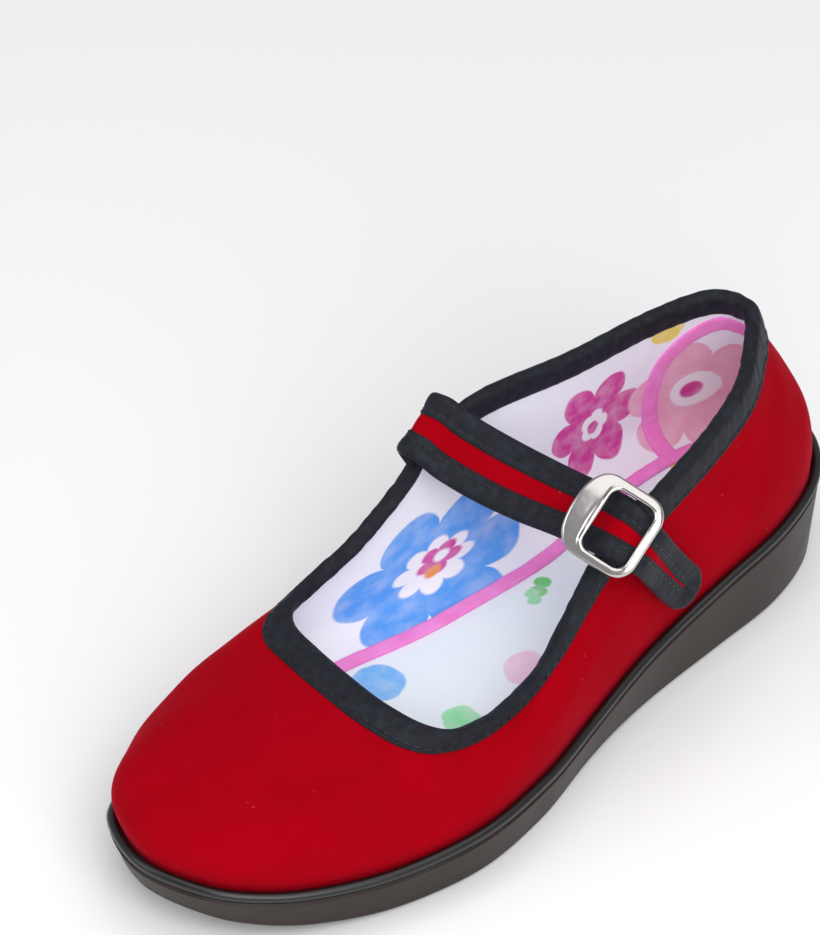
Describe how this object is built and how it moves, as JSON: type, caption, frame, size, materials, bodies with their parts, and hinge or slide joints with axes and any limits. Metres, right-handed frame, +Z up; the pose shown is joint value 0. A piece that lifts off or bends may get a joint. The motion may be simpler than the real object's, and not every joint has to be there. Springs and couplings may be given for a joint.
{
  "type": "cloth strap shoe",
  "caption": "Left cloth strap shoe: red velveteen upper with black bias binding, fastened strap with a polished buckle, moulded wedge sole and padded insole.",
  "frame": {"origin": "middle of the shoe's bounding box in plan, on the ground under the sole", "axes": "+X from the heel to the toe, +Y from the wearer's right to their left, which is the outer side of this left shoe, +Z up"},
  "size_m": [0.246, 0.0912, 0.0827],
  "materials": {
    "red_cloth": "velveteen",
    "black_binding": "cotton bias tape",
    "sole_rubber": "satin",
    "insole_cloth": "matt",
    "pink_tape": "matt",
    "buckle_metal": "polished",
    "elastic": "matt"
  },
  "bodies": {
    "root": {"outsole": "sole_rubber", "upper": "red_cloth", "topline_binding": "black_binding", "strap": "red_cloth", "strap_binding": "black_binding", "buckle": "buckle_metal", "buckle_tab": "elastic", "insole": "insole_cloth", "insole_piping": "pink_tape"}
  },
  "joints": []
}
